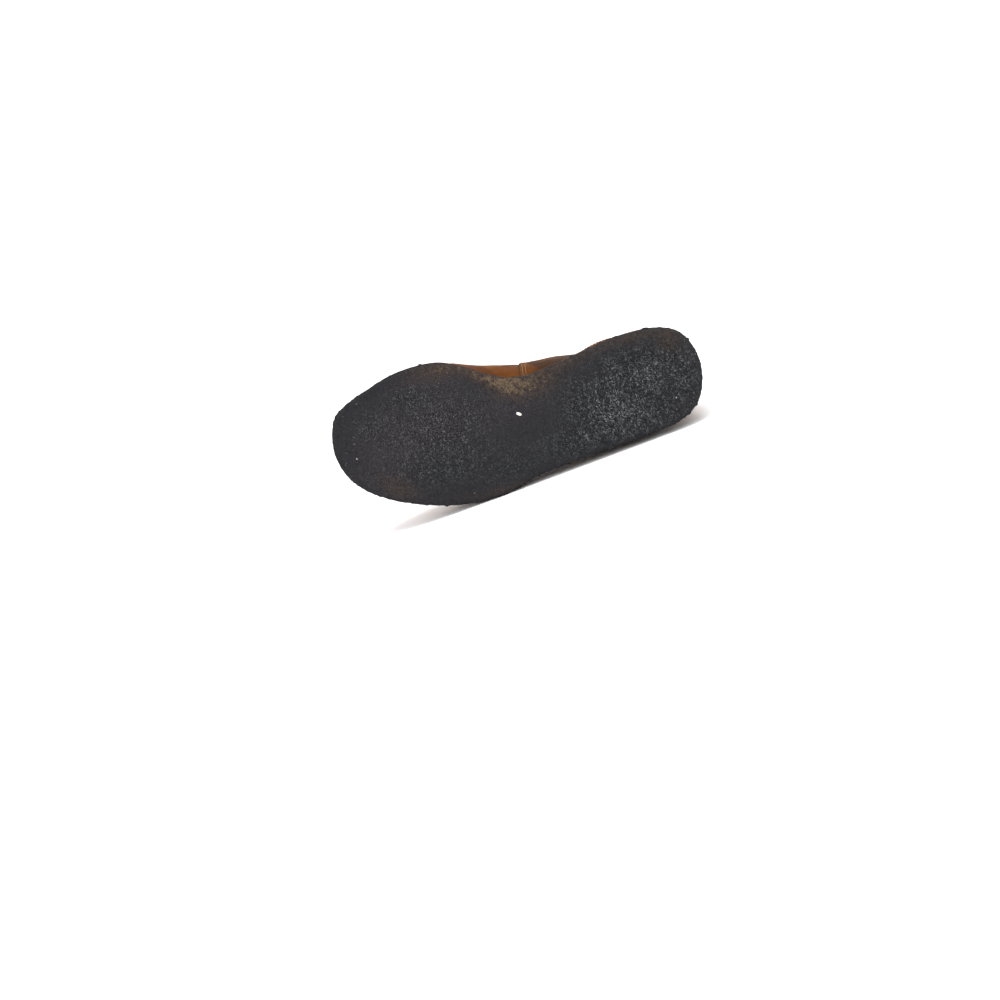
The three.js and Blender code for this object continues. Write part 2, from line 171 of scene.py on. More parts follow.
# The upper's stations, from the sole's edge up to the opening. foot: where one leaves the sole.
# x, y, z: its end on the opening. rise, medial, lateral: its first control point, up and out.
# reach, fall: how far its second control point lies from its end, and at what slope.
STATIONS = table(
    "foot x y z rise medial lateral reach fall",
    (0.0, 0.037, 0.0, 1.0, 0.42, 0.07, 0.07, 0.36, 90),
    (0.05, 0.068, 0.68, 0.995, 0.4, 0.06, 0.08, 0.36, 90),
    (0.12, 0.14, 0.98, 0.975, 0.34, 0.02, 0.07, 0.38, 90),
    (0.19, 0.227, 1.0, 0.98, 0.32, -0.02, 0.04, 0.4, 88),
    (0.25, 0.3, 0.79, 1.03, 0.31, -0.03, 0.02, 0.4, 84),
    (0.288, 0.337, 0.56, 1.073, 0.3, 0.0, 0.0, 0.38, 76),
    (0.313, 0.358, 0.41, 1.062, 0.3, 0.05, 0.0, 0.36, 68),
    (0.338, 0.375, 0.355, 0.995, 0.3, 0.14, -0.01, 0.33, 60),
    (0.375, 0.407, 0.32, 0.876, 0.3, 0.275, -0.01, 0.3, 52),
    (0.42, 0.45, 0.29, 0.75, 0.29, 0.36, -0.01, 0.28, 44),
    (0.469, 0.496, 0.265, 0.646, 0.28, 0.4, -0.01, 0.28, 36),
    (0.472, 0.499, 0.262, 0.641, 0.28, 0.4, -0.01, 0.28, 35),
    (0.53, 0.513, 0.21, 0.612, 0.28, 0.41, 0.0, 0.34, 28),
    (0.62, 0.521, 0.14, 0.602, 0.28, 0.2, 0.02, 0.46, 24),
    (0.76, 0.525, 0.08, 0.598, 0.27, 0.06, 0.04, 0.58, 22),
    (0.88, 0.527, 0.04, 0.596, 0.27, 0.05, 0.05, 0.68, 21),
    (0.96, 0.528, 0.015, 0.595, 0.27, 0.05, 0.05, 0.74, 21),
    (1.0, 0.528, 0.0, 0.595, 0.27, 0.05, 0.05, 0.76, 21),
)


def swing(along):
    """The angle that spreads a share of the length evenly around both rounded ends."""
    return np.arccos(1 - 2 * np.clip(along, 0, 1))


def smoothstep(x, low, high):
    s = np.clip((np.asarray(x, float) - low) / (high - low), 0, 1)
    return s * s * (3 - 2 * s)


def column(rows, key, name, turn, beyond=None, sign=1):
    """A smooth column of a table over the angle around the shoe, pi at the toe. Past the heel and
    the toe it goes on with another column, times sign, so that it stays smooth around both ends."""
    knots = swing(rows[key])
    values, others = rows[name], sign * rows[beyond or name]
    knots = np.concatenate([[-knots[1]], knots, [2 * np.pi - knots[-2]]])
    values = np.concatenate([[others[1]], values, [others[-2]]])
    slopes = (values[2:] - values[:-2]) / (knots[2:] - knots[:-2])
    knots, values = knots[1:-1], values[1:-1]
    folded = np.where(turn > np.pi, 2 * np.pi - turn, turn)
    k = np.clip(np.searchsorted(knots, folded, "right") - 1, 0, len(knots) - 2)
    h = knots[k + 1] - knots[k]
    f = np.clip((folded - knots[k]) / h, 0, 1)
    start = (2 * f**3 - 3 * f**2 + 1) * values[k] + (f**3 - 2 * f**2 + f) * slopes[k] * h
    end = (3 * f**2 - 2 * f**3) * values[k + 1] + (f**3 - f**2) * slopes[k + 1] * h
    return start + end


def along_of(turn):
    return (1 - np.cos(turn)) / 2


def side_of(turn):
    return np.where(turn <= np.pi, 1.0, -1.0)


def by_side(rows, key, turn, sign=1):
    medial = column(rows, key, "medial", turn, "lateral", sign)
    return np.where(side_of(turn) > 0, medial, column(rows, key, "lateral", turn, "medial", sign))


def outline(turn):
    """The sole's outline and its outward normals."""
    along = along_of(turn)
    half = (HEEL_WIDTH + (BALL_WIDTH - HEEL_WIDTH) * smoothstep(along, 0.3, 0.6)) / 2
    y = side_of(turn) * by_side(OUTLINE, "along", turn, -1) * half
    points = np.stack([along * SOLE_LENGTH, y], axis=1)
    chord = np.roll(points, -1, axis=0) - np.roll(points, 1, axis=0)
    chord /= np.linalg.norm(chord, axis=1)[:, None]
    return points, np.stack([-chord[:, 1], chord[:, 0]], axis=1)


def toe_lift(along):
    return TOE_SPRING * np.clip((along - 0.74) / 0.26, 0, None) ** 2


def sole_top(x):
    along = np.asarray(x, float) / SOLE_LENGTH
    wedge = HEEL_THICKNESS + (BALL_THICKNESS - HEEL_THICKNESS) * smoothstep(along, 0.12, 0.64)
    return toe_lift(along) + wedge


def sole_bottom(x, y):
    along = x / SOLE_LENGTH
    waist = smoothstep(along, 0.33, 0.45) * (1 - smoothstep(along, 0.5, 0.61))
    heel = HEEL_BEVEL * np.clip(1 - along / 0.1, 0, None) ** 2
    return toe_lift(along) + heel + ARCH_LIFT * waist * smoothstep(y, 0, HEEL_WIDTH / 3)


def unit(vectors):
    return vectors / np.maximum(np.linalg.norm(vectors, axis=-1, keepdims=True), 1e-9)


def noise_at(points, size, seed=0.0):
    """Smooth noise from -1 to 1 at points in mm, with features of a size in mm."""
    shift = Vector((seed, 2 * seed, -seed))
    return np.array([noise.noise(Vector(p) / size + shift) for p in points.reshape(-1, 3)])


# Meshes


def grid_faces(rows, columns, closed_rows=False, closed_columns=False):
    faces = []
    for r in range(rows if closed_rows else rows - 1):
        below = (r + 1) % rows
        for c in range(columns if closed_columns else columns - 1):
            side = (c + 1) % columns
            faces.append((r * columns + c, r * columns + side, below * columns + side, below * columns + c))
    return faces


def make_piece(name, points, faces, material, nodes, slot, smooth=True, weld=0.0, **attributes):
    """A piece from points in the shoe's frame. attributes hold one number or vector a point."""
    points = np.asarray(points, float)
    mesh = bpy.data.meshes.new(name)
    mesh.from_pydata(in_row(points).tolist(), [], faces)
    coordinates = attributes.pop("shoe", points)
    layer = mesh.attributes.new("shoe", "FLOAT_VECTOR", "POINT")
    layer.data.foreach_set("vector", np.asarray(coordinates, np.float32).ravel())
    for key, values in attributes.items():
        values = np.asarray(values, np.float32)
        kind = "FLOAT" if values.ndim == 1 else "FLOAT_COLOR"
        layer = mesh.attributes.new(key, kind, "POINT")
        layer.data.foreach_set("value" if values.ndim == 1 else "color", values.ravel())
    shape = bmesh.new()
    shape.from_mesh(mesh)
    if weld:
        bmesh.ops.remove_doubles(shape, verts=shape.verts, dist=weld * MM)
        flat = [face for face in shape.faces if face.calc_area() < 1e-12]
        bmesh.ops.delete(shape, geom=flat, context="FACES_ONLY")
    bmesh.ops.recalc_face_normals(shape, faces=shape.faces)
    shape.to_mesh(mesh)
    shape.free()
    mesh.polygons.foreach_set("use_smooth", [smooth] * len(mesh.polygons))
    mesh.materials.append(material)
    piece = bpy.data.objects.new(name, mesh)
    bpy.context.scene.collection.objects.link(piece)
    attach(piece, "root")
    if nodes:
        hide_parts(*nodes)
    return piece


# Materials


class Shading:
    """A node material, written as nested calls. A constant goes on the socket itself."""

    def __init__(self, name):
        self.material = bpy.data.materials.new(name)
        self.material.use_nodes = True
        self.tree = self.material.node_tree
        self.shader = self.tree.nodes["Principled BSDF"]

    def put(self, node, socket, value):
        target = node.inputs[socket]
        if isinstance(value, bpy.types.NodeSocket):
            self.tree.links.new(value, target)
        elif target.type == "RGBA" and len(value) == 3:
            target.default_value = (*value, 1)
        else:
            target.default_value = value

    def node(self, kind, sockets, **settings):
        node = self.tree.nodes.new(kind)
        for key, value in settings.items():
            setattr(node, key, value)
        for socket, value in sockets.items():
            self.put(node, socket, value)
        return node

    def attribute(self, name, output="Fac"):
        return self.node("ShaderNodeAttribute", {}, attribute_name=name).outputs[output]

    def noise(self, vector, size, detail=2.0, roughness=0.5, distortion=0.0):
        sockets = {
            "Vector": vector,
            "Scale": 1 / size,
            "Detail": detail,
            "Roughness": roughness,
            "Distortion": distortion,
        }
        return self.node("ShaderNodeTexNoise", sockets).outputs["Fac"]

    def cells(self, vector, size, feature="F1", output="Distance"):
        sockets = {"Vector": vector, "Scale": 1 / size}
        return self.node("ShaderNodeTexVoronoi", sockets, feature=feature).outputs[output]

    def warped(self, vector, size, amount):
        """A vector pushed around by soft noise, both lengths in mm."""
        sockets = {"Vector": vector, "Scale": 1 / size, "Detail": 1.0}
        drift = self.node("ShaderNodeTexNoise", sockets).outputs["Color"]
        middle = (0.5, 0.5, 0.5)
        drift = self.node("ShaderNodeVectorMath", {0: drift, 1: middle}, operation="SUBTRACT").outputs[0]
        drift = self.node("ShaderNodeVectorMath", {0: drift, "Scale": amount}, operation="SCALE").outputs[0]
        return self.node("ShaderNodeVectorMath", {0: vector, 1: drift}, operation="ADD").outputs[0]

    def stretched(self, vector, sizes, turn):
        """A vector turned in plan, then measured in a size for each axis."""
        sockets = {"Vector": vector, "Rotation": (0, 0, turn), "Scale": sizes}
        return self.node("ShaderNodeMapping", sockets, vector_type="TEXTURE").outputs[0]

    def math(self, operation, a, b=0.0, clamp=False):
        node = self.node("ShaderNodeMath", {0: a, 1: b}, operation=operation, use_clamp=clamp)
        return node.outputs[0]

    def between(self, value, low, high, to_low=0.0, to_high=1.0):
        sockets = {"Value": value, "From Min": low, "From Max": high, "To Min": to_low, "To Max": to_high}
        return self.node("ShaderNodeMapRange", sockets).outputs["Result"]

    def mix(self, factor, a, b, blend="MIX"):
        node = self.node("ShaderNodeMix", {0: factor, 6: a, 7: b}, data_type="RGBA", blend_type=blend)
        return node.outputs[2]

    def blend(self, factor, a, b):
        return self.node("ShaderNodeMix", {0: factor, 2: a, 3: b}).outputs[0]

    def bump(self, height, distance, strength=1.0, normal=None):
        sockets = {"Height": height, "Distance": distance * MM, "Strength": strength}
        node = self.node("ShaderNodeBump", sockets)
        if normal is not None:
            self.put(node, "Normal", normal)
        return node.outputs["Normal"]

    def finish(self, **sockets):
        for key, value in sockets.items():
            self.put(self.shader, key.replace("_", " ").title().replace("Ior", "IOR"), value)
        return self.material


CREPE_DARK = (0.0168, 0.0164, 0.0196)
CREPE_GREY = (0.155, 0.162, 0.168)
CREPE_BROWN = (0.058, 0.041, 0.031)
CREPE_TAN = (0.12, 0.086, 0.056)
CREPE_PLUM = (0.085, 0.06, 0.07)
CREPE_SIDE = (0.16, 0.098, 0.052)
CREPE_GAP = (0.009, 0.009, 0.01)
HEEL_FLAKE = (0.95, 2.9, 2.4)
FORE_FLAKE = (0.95, 2.3, 2.0)
FLAKE_TURN = math.radians(-18)


def crepe_material():
    """Crumbly crepe rubber: flaky and grey where it treads, the grey flakes partly worn rubber and partly a painted
    highlight, brown where it only gathers dust.
    """
    s = Shading("crepe")
    place = s.attribute("shoe", "Vector")
    zones = s.node("ShaderNodeSeparateColor", {"Color": s.attribute("zones", "Color")})
    worn, tan, plum = (zones.outputs[k] for k in range(3))
    side = s.attribute("side")
    clouds = s.noise(place, 13, detail=3)
    forward = s.node("ShaderNodeSeparateXYZ", {"Vector": place}).outputs[0]
    fore = s.between(forward, 125, 150)
    mottle = s.noise(place, 3.5, detail=3, roughness=0.6)
    grain = s.noise(place, 1.0, detail=4, roughness=0.7)
    curled = s.warped(place, 4.0, 5.5)
    big, small = (s.stretched(curled, size, FLAKE_TURN) for size in (HEEL_FLAKE, FORE_FLAKE))
    rims = [s.cells(flake, 1, "DISTANCE_TO_EDGE") for flake in (big, small)]
    gap = s.between(s.blend(fore, *rims), 0.03, 0.16)
    tints = [s.node("ShaderNodeSeparateColor", {"Color": s.cells(f, 1, "F1", "Color")}) for f in (big, small)]
    # Lighter grey flakes where the sole treads: worn rubber, partly a painted highlight that differs flake by flake.
    lit = s.between(s.blend(fore, *(tint.outputs[0] for tint in tints)), 0.2, 0.8, 0.2, 1.0)
    shine = s.math("MULTIPLY", s.math("MULTIPLY", gap, lit), s.between(clouds, 0.3, 0.6, 0.7, 1.1))
    shine = s.math("MULTIPLY", s.math("MULTIPLY", shine, worn), s.between(grain, 0.2, 0.6, 0.55, 1.0))
    base = s.mix(s.between(mottle, 0.3, 0.7, 0.0, 0.06), CREPE_DARK, CREPE_GREY)
    base = s.mix(s.math("MULTIPLY", plum, s.between(grain, 0.4, 0.65, 0.0, 0.6)), base, CREPE_PLUM)
    base = s.mix(s.math("MINIMUM", shine, 1.0), base, CREPE_GREY)
    streaks = s.noise(s.stretched(place, (1.5, 2.8, 2), FLAKE_TURN), 1, detail=3, roughness=0.7)
    rub = s.math("MULTIPLY", tan, s.between(mottle, 0.34, 0.6, 0.35, 1.25))
    rub = s.math("MULTIPLY", rub, s.between(streaks, 0.36, 0.64, 0.4, 1.3))
    base = s.mix(s.between(rub, 0.0, 0.6), base, CREPE_BROWN)
    base = s.mix(s.between(rub, 0.5, 1.0), base, CREPE_TAN)
    dust = s.math("MULTIPLY", side, s.between(clouds, 0.34, 0.6, 0.35, 1.0))
    base = s.mix(dust, base, CREPE_SIDE)
    speckle = s.between(grain, 0.56, 0.36, 0.0, 0.7)
    base = s.mix(speckle, base, CREPE_GAP)
    dark = s.math("MULTIPLY", s.between(gap, 1.0, 0.0, 0.0, 0.8), s.between(worn, 0.1, 0.5))
    colour = s.mix(s.math("MAXIMUM", dark, s.attribute("pit")), base, CREPE_GAP)
    relief = s.math("ADD", s.math("MULTIPLY", s.math("MULTIPLY", gap, worn), 0.9), grain)
    normal = s.bump(relief, 0.9, 1.0)
    gloss = s.between(shine, 0, 0.8, 0.92, 0.65)
    return s.finish(base_color=colour, roughness=gloss, specular_ior_level=0.08, normal=normal)


LEATHER_AMBER = (0.215, 0.068, 0.007)
LEATHER_BROWN = (0.105, 0.031, 0.005)
LEATHER_DARK = (0.03, 0.013, 0.006)
LEATHER_SCUFF = (0.33, 0.15, 0.055)
LEATHER_EDGE = (0.15, 0.085, 0.04)
SUEDE_INSIDE = (0.2, 0.12, 0.065)


def leather_material(name, light, deep, gloss=0.5):
    """Waxed leather: light and deep patches, painted shade in its creases, darker at its foot, raw at its edges."""
    s = Shading(name)
    place = s.attribute("shoe", "Vector")
    edge = s.attribute("edge")
    inner = s.attribute("inner")
    dirt = s.attribute("dirt")
    scuff = s.attribute("scuff")
    clouds = s.noise(s.warped(place, 60, 30), 38, detail=5, roughness=0.6)
    streaks = s.noise(s.stretched(s.warped(place, 16, 9), (9, 3.5, 5), 0.5), 1, detail=4, roughness=0.6)
    grain = s.cells(s.warped(place, 3, 1.2), 1.15, "DISTANCE_TO_EDGE")
    pores = s.noise(place, 0.6, detail=3, roughness=0.6)
    colour = s.mix(s.between(clouds, 0.36, 0.62), deep, light)
    colour = s.mix(s.between(streaks, 0.48, 0.68, 0.0, 0.6), colour, deep)
    rub = s.math("MULTIPLY", scuff, s.between(streaks, 0.42, 0.6))
    colour = s.mix(s.math("MULTIPLY", rub, 0.7), colour, LEATHER_SCUFF)
    colour = s.mix(s.math("MULTIPLY", edge, 0.9), colour, LEATHER_EDGE)
    # Dark wax and dust in patches, darker along the sole, and painted shade in the creases.
    colour = s.mix(dirt, colour, LEATHER_DARK)
    colour = s.mix(inner, colour, SUEDE_INSIDE)
    colour = s.mix(s.between(pores, 0.6, 0.36, 0.0, 0.3), colour, LEATHER_DARK)
    relief = s.math("ADD", s.between(grain, 0.0, 0.2, 0.0, 0.8), pores)
    normal = s.bump(relief, 0.1, 0.8)
    rough = s.math("ADD", s.between(streaks, 0.3, 0.7, gloss - 0.05, gloss + 0.12), s.math("MULTIPLY", inner, 0.4))
    rough = s.math("ADD", rough, s.math("MULTIPLY", rub, 0.25))
    return s.finish(base_color=colour, roughness=rough, specular_ior_level=0.02, normal=normal)


def thread_material():
    s = Shading("thread")
    place = s.attribute("shoe", "Vector")
    twist = s.noise(place, 0.35, detail=1)
    colour = s.mix(s.between(s.noise(place, 18), 0.35, 0.65), (0.24, 0.12, 0.042), (0.13, 0.062, 0.024))
    return s.finish(base_color=colour, roughness=0.7, normal=s.bump(twist, 0.15))


def insole_material():
    s = Shading("insole_leather")
    place = s.attribute("shoe", "Vector")
    dirt = s.attribute("dirt")
    clouds = s.noise(place, 20, detail=4)
    colour = s.mix(s.between(clouds, 0.35, 0.65), (0.36, 0.23, 0.12), (0.24, 0.145, 0.07))
    colour = s.mix(dirt, colour, (0.07, 0.042, 0.025))
    pores = s.noise(place, 0.8, detail=3)
    return s.finish(base_color=colour, roughness=0.62, specular_ior_level=0.3, normal=s.bump(pores, 0.15))


def lace_material():
    """A waxed round lace: its braid runs both ways around the cord."""
    s = Shading("waxed_lace")
    run = s.node("ShaderNodeSeparateXYZ", {"Vector": s.attribute("braid", "Vector")})
    one = s.math("SINE", s.math("ADD", run.outputs[0], run.outputs[1]))
    other = s.math("SINE", s.math("SUBTRACT", run.outputs[0], run.outputs[1]))
    weave = s.between(s.math("MAXIMUM", one, other), -0.2, 1.0)
    # Darker in the braid's grooves than on its crests: painted shade.
    colour = s.mix(weave, (0.035, 0.016, 0.008), (0.13, 0.062, 0.028))
    return s.finish(base_color=colour, roughness=0.5, normal=s.bump(weave, 0.25))


def grit_material(name, light, deep):
    s = Shading(name)
    place = s.attribute("shoe", "Vector")
    colour = s.mix(s.between(s.noise(place, 6.0), 0.4, 0.6), light, deep)
    return s.finish(base_color=colour, roughness=0.7)


# Where the sole is worn (0), dusty brown (1) or plum (2): soft spots, their place and half sizes
# in mm, and their turn in degrees.
SPOTS = table(
    "zone x y long wide turn strength",
    (0, 50, 8, 32, 20, -8, 0.75),
    (0, 58, -8, 46, 30, 0, 0.4),
    (0, 86, -14, 26, 14, 34, 0.85),
    (0, 112, -33, 24, 12, 8, 0.5),
    (0, 64, -28, 30, 11, 0, 0.6),
    (0, 16, -4, 12, 24, 0, 0.3),
    (0, 214, 4, 40, 24, 0, 0.6),
    (0, 230, 34, 18, 8, 0, 0.4),
    (0, 268, 18, 14, 12, 0, 0.3),
    (0, 222, -28, 44, 14, 0, 0.35),
    (0, 165, -40, 26, 12, 0, 0.25),
    (1, 153, 26, 13, 9, 25, 1.1),
    (1, 172, 38, 18, 6, 35, 0.8),
    (1, 134, 22, 20, 11, 0, 0.7),
    (1, 108, 33, 20, 7, 0, 0.5),
    (1, 200, 50, 26, 8, 0, 0.6),
    (1, 60, 37, 50, 5, 0, 0.35),
    (1, 20, 28, 12, 9, -40, 0.45),
    (1, 256, -34, 16, 9, 35, 0.4),
    (1, 170, -56, 40, 4, 0, 0.3),
    (2, 218, 6, 36, 22, 0, 0.9),
    (2, 205, 44, 26, 12, 0, 0.6),
    (2, 262, -6, 24, 26, 0, 0.4),
    (2, 150, 8, 30, 16, 0, 0.4),
)


def zone_masks(x, y):
    masks = np.zeros((3, len(x)))
    for zone, cx, cy, long, wide, turn, strength in zip(*SPOTS.values()):
        angle = math.radians(turn)
        dx, dy = x - cx, y - cy
        u = (dx * math.cos(angle) + dy * math.sin(angle)) / long
        v = (dy * math.cos(angle) - dx * math.sin(angle)) / wide
        masks[int(zone)] += strength * np.exp(-(u * u + v * v))
    return np.clip(masks, 0, 1.2)


SOLE_AROUND = 640
SOLE_RINGS = 60
SIDE_RINGS = 20
CRUMB = 1.3


def around(count):
    return np.arange(count) * 2 * np.pi / count


def middle_line(turn):
    """The middle of the sole opposite each station, kept back from both rounded ends."""
    along = np.clip(along_of(turn), 0.06, 0.92)
    angle = swing(along)
    half = (HEEL_WIDTH + (BALL_WIDTH - HEEL_WIDTH) * smoothstep(along, 0.3, 0.6)) / 2
    medial = column(OUTLINE, "along", "medial", angle, "lateral", -1)
    lateral = column(OUTLINE, "along", "lateral", angle, "medial", -1)
    return np.stack([along * SOLE_LENGTH, (medial - lateral) * half / 2], axis=1)


def build_outsole(material):
    turn = around(SOLE_AROUND)
    edge, out = outline(turn)
    middle = middle_line(turn)
    rings, outward, lows = [], [], []

    def add(plan, z, sideways, downwards):
        rings.append(np.column_stack([plan, z]))
        normal = np.column_stack([out * sideways, np.full(len(out), -downwards)])
        outward.append(unit(normal))

    inner = edge - out * EDGE_ROUNDING
    for share in np.linspace(1, 0, SOLE_RINGS):
        plan = inner + (middle - inner) * share
        add(plan, sole_bottom(*plan.T), 0.0, 1.0)
        lows.append(np.ones(len(turn)))
    for angle in np.radians(np.linspace(0, 90, 9)[1:]):
        plan = edge - out * EDGE_ROUNDING * (1 - math.sin(angle))
        z = sole_bottom(*plan.T) + EDGE_ROUNDING * (1 - math.cos(angle))
        add(plan, z, math.sin(angle), math.cos(angle))
        lows.append(np.full(len(turn), math.cos(angle) ** 0.7))
    foot = rings[-1][:, 2]
    plan = edge - out * SIDE_TAPER
    head = sole_top(plan[:, 0]) - TOP_ROUNDING
    for share in np.linspace(0, 1, SIDE_RINGS)[1:]:
        plan = edge - out * SIDE_TAPER * share
        add(plan, foot + (head - foot) * share, 1.0, 0.0)
        lows.append(np.zeros(len(turn)))
    for angle in np.radians([60, 30, 0]):
        plan = edge - out * (SIDE_TAPER + TOP_ROUNDING * (1 - math.sin(angle)))
        z = sole_top(plan[:, 0]) - TOP_ROUNDING * (1 - math.cos(angle))
        add(plan, z, math.sin(angle), -math.cos(angle))
        lows.append(np.zeros(len(turn)))
    for share in (0.5, 1.0):
        plan_in = plan + (middle - plan) * share
        add(plan_in, sole_top(plan_in[:, 0]), 0.0, -1.0)
        lows.append(np.zeros(len(turn)))

    points = np.concatenate(rings)
    normals = np.concatenate(outward)
    low = np.concatenate(lows)
    hidden = np.repeat(np.arange(len(rings)) >= len(rings) - 3, len(turn))
    worn, tan, plum = zone_masks(points[:, 0], points[:, 1])
    flat_on = np.clip(low, 0, 1)
    ground = sole_bottom(points[:, 0], points[:, 1])
    climb = (points[:, 2] - ground) / (sole_top(points[:, 0]) - ground)
    side = 0.85 * smoothstep(climb, 0.22, 0.75) * (1 - flat_on)
    lumps = 0.25 * noise_at(points, 11) + 0.2 * noise_at(points, 4.5, 7.0)
    crumbs = np.clip(noise_at(points, 2.4, 3.0) - 0.1, 0, 1) * 0.8 * (1 - flat_on**2)
    bursts = np.clip(noise_at(points, 6.0, 21.0) - 0.4, 0, 1) * 5.0 * (1 - flat_on**4)
    height = lumps + np.minimum(crumbs + bursts, CRUMB) - 0.3
    height *= 1 - 0.6 * smoothstep(climb, 0.7, 1.0)
    height[hidden] = 0
    moved = points + normals * height[:, None]
    zones = np.stack([worn * flat_on, tan * flat_on, plum * flat_on, np.ones(len(low))], axis=1)
    pit = np.clip(-0.9 - 3.0 * noise_at(points, 4.0, 33.0), 0, 0.5) * (1 - flat_on)
    faces = grid_faces(len(rings), len(turn), closed_columns=True)
    make_piece(
        "crepe_outsole", moved, faces, material, ["outsole"], "crepe",
        weld=0.02, shoe=points, zones=zones, pit=pit, side=side,
    )


# Upper

QUARTER_CUTS = 104
VAMP_CUTS = 120
WALL_LEVELS = 84
SEAM_TURN = float(swing(SEAM))
FLANGE_LEVELS = 3
BEND_ANGLES = np.radians([15, 30, 45, 60])


def upper_turns():
    quarter = np.linspace(0, SEAM_TURN, QUARTER_CUTS + 1)
    vamp = np.linspace(SEAM_TURN, np.pi, VAMP_CUTS + 1)[1:]
    medial = np.concatenate([quarter, vamp])
    return np.concatenate([medial, 2 * np.pi - medial[-2:0:-1]])


def blur(values, reach):
    """Smooths values around the boot with a bell of a reach in stations."""
    steps = np.arange(-3 * reach, 3 * reach + 1)
    weights = np.exp(-0.5 * (steps / reach) ** 2)
    weights /= weights.sum()
    return sum(w * np.roll(values, step, axis=0) for step, w in zip(steps, weights))


def inside_wall(turn):
    """The inside of the upper: the flange on the sole, its bend and the wall, station by station."""
    edge, out = outline(turn)
    get = lambda name: column(STATIONS, "foot", name, turn, name, -1 if name == "y" else 1)

    def at(inset, z):
        plan = edge - out * inset
        return np.column_stack([plan, sole_top(plan[:, 0]) + SEAT_GAP + z])

    bend_start = FLANGE_MARGIN + FLANGE_WIDTH - FLANGE_BEND
    levels = [at(inset, 0) for inset in np.linspace(FLANGE_MARGIN, bend_start, FLANGE_LEVELS)]
    for angle in BEND_ANGLES:
        levels.append(at(bend_start + FLANGE_BEND * math.sin(angle), FLANGE_BEND * (1 - math.cos(angle))))
    foot = at(FLANGE_MARGIN + FLANGE_WIDTH, FLANGE_BEND)
    y = get("y") * side_of(turn) * COLLAR_WIDTH / 2
    end = np.column_stack([get("x") * SOLE_LENGTH, y, HEEL_THICKNESS + get("z") * SHAFT_HEIGHT])
    lean = by_side(STATIONS, "foot", turn) * BALL_WIDTH / 2
    first = foot + np.column_stack([out * lean[:, None], get("rise") * SHAFT_HEIGHT])
    fall = np.radians(get("fall"))
    away = unit((foot - end)[:, :2]) * np.cos(fall)[:, None]
    second = end + np.column_stack([away, -np.sin(fall)]) * (get("reach") * SHAFT_HEIGHT)[:, None]
    for v in np.linspace(0, 1, WALL_LEVELS):
        curve = (1 - v) ** 3 * foot + 3 * v * (1 - v) ** 2 * first + 3 * v * v * (1 - v) * second + v**3 * end
        levels.append(curve)
    return np.stack(levels, axis=1)


TURN = upper_turns()
AROUND = len(TURN)
INSIDE = inside_wall(TURN)
LOW_LEVELS = FLANGE_LEVELS + len(BEND_ANGLES)
SMOOTH = blur(INSIDE, 3)
BLEND = smoothstep(np.arange(INSIDE.shape[1]), LOW_LEVELS - 1, LOW_LEVELS + 14)[None, :, None]
INSIDE = INSIDE * (1 - BLEND) + SMOOTH * BLEND
LEVELS = INSIDE.shape[1]
UPWARDS = np.gradient(INSIDE, axis=1)
SIDEWAYS = np.roll(INSIDE, -1, axis=0) - np.roll(INSIDE, 1, axis=0)
NORMALS = unit(np.cross(UPWARDS, SIDEWAYS))

# Creases in the leather: the middle of each, the way it runs, its half length, width and depth.
CREASES = table(
    "x y z dx dy dz length width depth",
    (190, 8, 72, 0.14, 1, 0.0, 34, 2.3, 2.0),
    (203, 0, 68, 0.04, 1, 0.0, 40, 2.2, 2.3),
    (180, 16, 74, 0.3, 1, 0.0, 22, 2.2, 1.3),
    (214, -10, 63, -0.12, 1, 0.0, 30, 2.4, 1.6),
    (226, 10, 58, 0.1, 1, 0.0, 22, 2.6, 0.9),
    (173, -18, 72, -0.34, 1, -0.2, 20, 2.4, 1.2),
    (188, -40, 48, 0.35, 0.3, -1, 15, 2.6, 1.5),
    (198, 46, 46, 0.4, -0.3, -1, 14, 2.6, 1.3),
    (104, -36, 66, 1, 0, -0.45, 22, 2.8, 2.2),
    (98, -38, 57, 1, 0, -0.3, 26, 3.0, 1.8),
    (108, -30, 80, 1, 0.2, -0.5, 16, 2.6, 1.4),
    (102, 34, 68, 1, 0, -0.4, 22, 2.8, 2.0),
    (96, 36, 57, 1, 0, -0.2, 26, 3.0, 1.7),
    (110, 28, 82, 1, -0.2, -0.55, 15, 2.6, 1.4),
    (28, 22, 84, 0.4, 0.6, -0.15, 15, 3.0, 1.3),
    (26, -24, 78, 0.4, -0.6, 0.1, 17, 3.0, 1.4),
    (40, -32, 60, 1, 0, 0.3, 14, 3.0, 0.9),
    (140, 36, 46, 1, 0.1, 0.2, 16, 2.6, 0.8),
    (152, 38, 40, 1, 0.1, -0.15, 14, 2.4, 0.6),
)


CREASE_REACH = 50.0


def crease_depths(points, normals):
    """How far the creases move the leather in (negative) or out at each point, in mm."""
    total = np.zeros(len(points))
    for x, y, z, dx, dy, dz, length, width, depth in zip(*CREASES.values()):
        run = unit(np.array([dx, dy, dz]))
        away = points - np.array([x, y, z])
        along = away @ run
        rest = away - along[:, None] * run
        far = np.linalg.norm(rest, axis=1)
        rest -= np.sum(rest * normals, axis=1)[:, None] * normals
        sideways = np.cross(normals, run)
        lies_flat = smoothstep(np.linalg.norm(sideways, axis=1), 0.15, 0.45)
        across = np.sum(rest * unit(sideways), axis=1)
        across += 2.5 * np.sin(along / length * 2.2 + x)
        near = np.exp(-(along / length) ** 2) * np.exp(-(np.sum(away * normals, axis=1) / 26) ** 2)
        near *= lies_flat * np.exp(-(far / CREASE_REACH) ** 4)
        trough = np.exp(-(across / width) ** 2)
        swell = np.exp(-((np.abs(across) - 2.2 * width) / (1.3 * width)) ** 2)
        total += depth * near * (0.4 * swell - trough)
    return total


